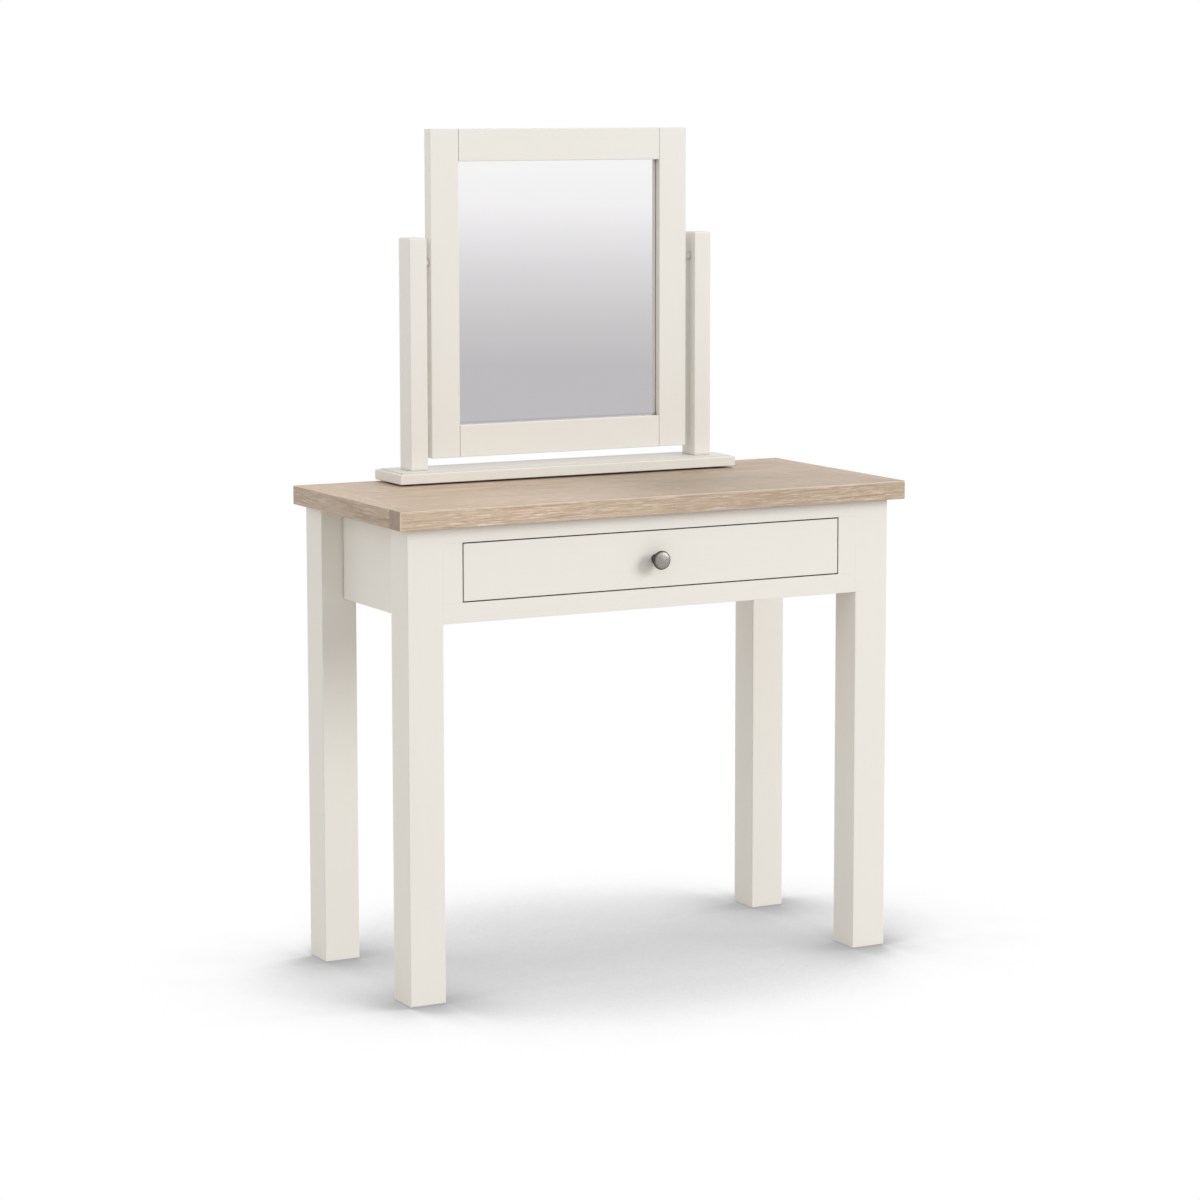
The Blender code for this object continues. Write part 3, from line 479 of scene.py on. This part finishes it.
def zinc_plate(name):
    """Bright zinc on steel, a little clouded."""
    zinc = Finish(name)
    here = zinc.place()
    cloud = zinc.noise(here, (400, 400, 400), 3.0)
    shade = zinc.mixed(cloud, colour(186, 185, 182), colour(205, 203, 196))
    return zinc.lay(Base_Color=shade, Metallic=1.0, Roughness=0.26 + cloud * 0.2)


finish_nodes(("top_screw", "post_screw", "knob_screw", "pivot_pin"), zinc_plate("zinc plated steel"))


# Drawer front. One painted board with a lap cut behind each end for the drawer's
# sides, inset flush in the face frame with an even gap all round.

finish_nodes("drawer_front", paints["x"])


# Drawer knob. A mushroom knob of cast pewter on a waisted neck and a small
# rose, its domed face brushed by hand, drawn up by a screw from inside.

def brushed_pewter(name, middle, radius, reach):
    """Pewter with short brush strokes on its face, darker round the rim as painted shade, and on the
    neck partly as patina in the hollow and partly as painted shade.
    """
    pewter = Finish(name)
    here = pewter.node("ShaderNodeTexCoord", output="Object")
    here = pewter.node("ShaderNodeVectorMath", {"operation": "SUBTRACT"}, (here, tuple(middle)))
    parts = pewter.node("ShaderNodeSeparateXYZ", None, (here,))
    side, out, up = (Socket(pewter, socket) for socket in parts.socket.node.outputs)
    from_axis = (side * side + up * up) ** 0.5 / radius
    depth = out * (-1.0 / reach)
    # 1 on the face of the knob; elsewhere the colour is darker: painted shade round the rim, and at the
    # neck partly patina and partly painted shade.
    face_clear_of_shade = (1.0 - from_axis.step(0.74, 1.0)) * depth.step(0.82, 0.93)
    lean = (0, math.radians(38), 0)
    turned = pewter.node("ShaderNodeMapping", None, {"Vector": here, "Rotation": lean})
    strokes = pewter.noise(turned, (170, 1100, 1100), 3.0, 0.6)
    dimples = pewter.noise(here, (330, 330, 330), 2.0)
    shade = pewter.mixed(face_clear_of_shade, colour(84, 81, 76), colour(146, 142, 138))
    shade = pewter.toned(shade, 0.35 + strokes * 0.8 + dimples * 0.5)
    return pewter.lay(
        Base_Color=shade, Metallic=1.0, Roughness=0.54 - face_clear_of_shade * 0.10 + (strokes - 0.5) * 0.3,
        relief=(dimples * 0.6 + strokes * 0.4, 0.0004),
    )


KNOB_SHARES = (
    (0.54, 0.010), (0.55, 0.030), (0.545, 0.060), (0.52, 0.110), (0.48, 0.150), (0.44, 0.200),
    (0.41, 0.270), (0.40, 0.340), (0.415, 0.410), (0.45, 0.455), (0.52, 0.500), (0.64, 0.545),
    (0.78, 0.595), (0.90, 0.650), (0.965, 0.705), (0.995, 0.755), (1.00, 0.795), (0.99, 0.830),
    (0.97, 0.865), (0.925, 0.902), (0.84, 0.935), (0.70, 0.963), (0.52, 0.982), (0.30, 0.994),
    (0.12, 0.999),
)
knob_low, knob_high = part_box("drawer_knob")
knob_radius = (knob_high.x - knob_low.x) / 2
knob_reach = knob_high.y - knob_low.y
bm = bmesh.new()
profile = [bm.verts.new((0, 0, 0.0004))]
profile += [bm.verts.new((share * knob_radius, 0, depth * knob_reach)) for share, depth in KNOB_SHARES]
profile.append(bm.verts.new((0, 0, knob_reach)))
spine = [bm.edges.new(pair) for pair in zip(profile, profile[1:])]
bmesh.ops.spin(
    bm, geom=profile + spine, cent=(0, 0, 0), axis=(0, 0, 1), dvec=(0, 0, 0), angle=math.tau, steps=72,
    use_merge=True, use_duplicate=False,
)
bmesh.ops.remove_doubles(bm, verts=bm.verts, dist=1e-6)
bmesh.ops.recalc_face_normals(bm, faces=bm.faces)
bmesh.ops.rotate(bm, cent=(0, 0, 0), matrix=Matrix.Rotation(math.pi / 2, 3, "X"), verts=bm.verts)
knob_seat = (knob_low + knob_high) / 2
knob_seat.y = knob_high.y
bmesh.ops.translate(bm, vec=knob_seat, verts=bm.verts)
pewter = brushed_pewter("brushed pewter", knob_seat, knob_radius, knob_reach)
piece("mushroom_knob", bm, pewter, "drawer", ["drawer_knob"])


# Mirror stand. A base board with a rounded edge and a slightly raised field, two square posts tenoned
# and screwed into it from below, and a felt pad under each corner. Painted like the table, with the
# frame of the glass, in a copy of its paint a touch greener and, as painted shade, a touch darker.

def dark_felt(name):
    """Short-haired felt, cut round and glued on."""
    felt = Finish(name)
    here = felt.place()
    hair = felt.noise(here, (1800, 1800, 1800), 3.0, 0.7)
    shade = felt.mixed(hair, colour(38, 36, 34), colour(62, 58, 54))
    return felt.lay(Base_Color=shade, Roughness=0.95, Sheen_Weight=0.3, relief=(hair, 0.0003))


finish_nodes("base_pad", dark_felt("dark felt"))
# The stand's paint: a touch greener than the table's, and a touch darker as painted shade.
STAND_SHADED_LIGHT = (235, 232, 225)
STAND_SHADED_DARK = (233, 230, 222)
stand_paints = {
    along: cream_paint("cream paint of the stand along " + along, along, STAND_SHADED_LIGHT, STAND_SHADED_DARK)
    for along in "xz"
}
finish_nodes("mirror_post", stand_paints["z"])
finish_nodes("mirror_base", stand_paints["x"])
white_nylon = moulded_nylon("white nylon", (230, 226, 216), (236, 233, 224))
finish_nodes(("pivot_bush", "pivot_collar"), white_nylon)


# Mirror frame. Two stiles the full height with the rails tenoned between them,
# rebated behind for a silvered glass and a hardboard back.

def silvered_glass(name, foot):
    """Silvering seen through clear glass, faintly cool, with painted shade darkening it just above the
    bottom rail.
    """
    glass = Finish(name)
    here = glass.place()
    film = glass.noise(here, (6, 6, 6), 2.0)
    speck = glass.noise(here, (900, 900, 900), 2.0)
    shade = glass.mixed(film, colour(246, 245, 246), colour(243, 243, 244))
    # Painted shade: the silvering is darkened in a strip just above the bottom rail.
    from_foot = glass.node("ShaderNodeSeparateXYZ", None, (here,), output="Z") - foot
    shade_above_rail = 1.0 - (from_foot + speck * 0.001).step(0.0005, 0.0065)
    shade = glass.toned(shade, 1.0 - shade_above_rail * 0.22)
    return glass.lay(Base_Color=shade, Metallic=1.0, Roughness=0.012 + film * 0.01 + shade_above_rail * 0.05)


def hardboard(name):
    """Brown hardboard: pressed fibres and darker clumps of them."""
    board = Finish(name)
    here = board.place()
    hair = board.noise(here, (1500, 1500, 500), 3.0, 0.7)
    fleck = board.noise(here, (420, 420, 420), 4.0, 0.7)
    clump = board.noise(here, (130, 130, 130), 3.0, 0.6).step(0.50, 0.68)
    cloud = board.noise(here, (7, 7, 7), 4.0, 0.6)
    shade = board.mixed(fleck, colour(116, 86, 60), colour(158, 124, 90))
    shade = board.mixed(clump * 0.45, shade, colour(92, 66, 44))
    shade = board.toned(shade, 0.55 + cloud * 0.55 + hair * 0.35)
    return board.lay(
        Base_Color=shade, Roughness=0.58 + fleck * 0.25, relief=(fleck + hair * 0.5, 0.0002),
    )


finish_nodes("mirror_stile", stand_paints["z"])
finish_nodes("mirror_rail", stand_paints["x"])
finish_nodes("mirror_back_board", hardboard("hardboard"))
GLASS_DEPTH = 0.0007
low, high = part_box("mirror_glass")
low.y += GLASS_DEPTH
piece(
    "mirror_silvering", dressed_board(low, high, 0.0004),
    silvered_glass("silvered glass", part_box("mirror_rail_bottom")[1].z),
    "mirror", ["mirror_glass"],
)


# Studio. A white floor that, to the camera and polished surfaces, glows white with a painted shadow
# read from occlusion round the object, soft light from all round, a large soft lamp to the right of the
# camera and a weaker one at the left, and a white surround with a soft grey band that only polished
# surfaces see.

camera = bpy.data.objects.new("camera", bpy.data.cameras.new("camera"))
bpy.context.scene.collection.objects.link(camera)
bpy.context.scene.camera = camera
camera.data.sensor_width = 36.0
camera.data.lens = 105.016
camera.data.shift_y = -0.0700
camera.data.clip_start = 0.1
camera.data.clip_end = 100.0
EYE = Vector((-2.62754, -4.93094, 1.39177))
yaw, pitch, roll = 0.48918, -0.12024, -0.00112
ahead = Vector((math.sin(yaw) * math.cos(pitch), math.cos(yaw) * math.cos(pitch), math.sin(pitch)))
level = Vector((math.cos(yaw), -math.sin(yaw), 0))
upward = level.cross(ahead)
right = level * math.cos(roll) + upward * math.sin(roll)
top = upward * math.cos(roll) - level * math.sin(roll)
turn = Matrix((right, top, -ahead)).transposed().to_4x4()
camera.matrix_world = Matrix.Translation(EYE) @ turn

bm = bmesh.new()
bmesh.ops.create_grid(bm, x_segments=4, y_segments=4, size=9.0)
mesh = bpy.data.meshes.new("studio_floor")
bm.to_mesh(mesh)
bm.free()
floor = bpy.data.objects.new("studio_floor", mesh)
bpy.context.scene.collection.objects.link(floor)


def looked_at(finish):
    """1 for what the camera sees, straight or by way of gloss or glass, and 0 for fill light."""
    path = finish.node("ShaderNodeLightPath", output="Is Camera Ray")
    ways = path.socket.node.outputs
    straight = path.maths("MAXIMUM", path, Socket(finish, ways["Is Glossy Ray"]))
    straight = path.maths("MAXIMUM", straight, Socket(finish, ways["Is Transmission Ray"]))
    return straight * path.maths("LESS_THAN", Socket(finish, ways["Diffuse Depth"]), 0.5)


white = Finish("studio floor with painted shadow")
white.lay(Base_Color=(0.72, 0.72, 0.72, 1.0), Roughness=0.9, Specular_IOR_Level=0.0)
# Painted shadow: for the camera and polished surfaces the floor glows, darkened by a ramp on the
# occlusion round the object.
light = white.node("ShaderNodeAmbientOcclusion", {"samples": 28}, {"Distance": 0.85}, output="AO")
PAINTED_FLOOR_SHADOW_TONES = ((0.30, 0.42), (0.60, 0.50), (0.74, 0.62), (0.80, 0.84), (0.86, 1.0))
stops = [(place, (tone,) * 3) for place, tone in PAINTED_FLOOR_SHADOW_TONES]
shade = white.node("ShaderNodeValToRGB", {"stops": stops}, (light,))
painted_shadow_glow = white.node("ShaderNodeEmission", None, {"Color": shade, "Strength": 1.0})
plain = Socket(white, white.shader.outputs[0])
either = white.node("ShaderNodeMixShader", None, {0: looked_at(white), 1: plain, 2: painted_shadow_glow})
mesh.materials.append(white.show(either))

sky = Finish("studio", world=True)
bpy.context.scene.world = sky.owner
dome = sky.node("ShaderNodeBackground", None, {"Color": (1.0, 1.0, 1.0, 1.0), "Strength": 0.60})
plain = sky.node("ShaderNodeBackground", None, {"Color": (1.0, 1.0, 1.0, 1.0), "Strength": 1.0})
sky.show(sky.node("ShaderNodeMixShader", None, {0: looked_at(sky), 1: dome, 2: plain}))

SURROUND_RADIUS = 6.0
SURROUND_HEIGHT = 1.3
bm = bmesh.new()
rim = bm.verts.new((SURROUND_RADIUS, 0, 0))
crest = bm.verts.new((SURROUND_RADIUS, 0, SURROUND_HEIGHT))
upright = bm.edges.new((rim, crest))
bmesh.ops.spin(
    bm, geom=[rim, crest, upright], cent=(0, 0, 0), axis=(0, 0, 1), dvec=(0, 0, 0), angle=math.tau,
    steps=96, use_merge=True, use_duplicate=False,
)
bmesh.ops.remove_doubles(bm, verts=bm.verts, dist=1e-5)
mesh = bpy.data.meshes.new("studio_surround")
bm.to_mesh(mesh)
bm.free()
mesh.shade_smooth()
surround = bpy.data.objects.new("studio_surround", mesh)
bpy.context.scene.collection.objects.link(surround)
surround.visible_camera = False
surround.visible_diffuse = False
surround.visible_shadow = False
surround.visible_volume_scatter = False
card = Finish("studio surround")
height = card.node("ShaderNodeSeparateXYZ", None, (card.place(),), output="Z") / SURROUND_HEIGHT
grey = (0.563, 0.553, 0.559)
fade = card.node(
    "ShaderNodeValToRGB",
    {"stops": (
        (0.0, (0.97, 0.965, 0.97)), (0.05, (0.86, 0.85, 0.855)), (0.13, (0.64, 0.63, 0.635)),
        (0.19, grey), (0.36, grey), (0.48, (0.64, 0.63, 0.634)), (0.62, (0.77, 0.76, 0.765)),
        (0.78, (0.97, 0.96, 0.965)), (0.88, (1.0, 1.0, 1.0)),
    )},
    (height,),
)
lit = card.node("ShaderNodeEmission", None, {"Color": fade, "Strength": 1.0})
mesh.materials.append(card.show(lit))


def soft_lamp(name, towards, distance, size, power, tint=(1.0, 1.0, 1.0)):
    """A square soft lamp that faces the middle of the object."""
    lamp = bpy.data.lights.new(name, "AREA")
    lamp.shape = "SQUARE"
    lamp.size = size
    lamp.energy = power
    lamp.color = tint
    thing = bpy.data.objects.new(name, lamp)
    bpy.context.scene.collection.objects.link(thing)
    towards = Vector(towards).normalized()
    thing.location = Vector((0, 0, 0.7)) + towards * distance
    thing.rotation_mode = "QUATERNION"
    thing.rotation_quaternion = towards.to_track_quat("Z", "Y")


soft_lamp("key lamp", (0.68, -0.65, 0.344), 20.0, 8.0, 2080)
soft_lamp("fill lamp", (-0.93, -0.15, 0.33), 8.0, 4.4, 80, (1.0, 0.98, 0.92))
soft_lamp("back lamp", (-0.50, 0.82, 0.26), 8.0, 4.4, 60)
soft_lamp("overhead lamp", (0.0, 0.0, 1.0), 6.0, 4.0, 22)

bpy.context.scene.view_settings.view_transform = "Standard"
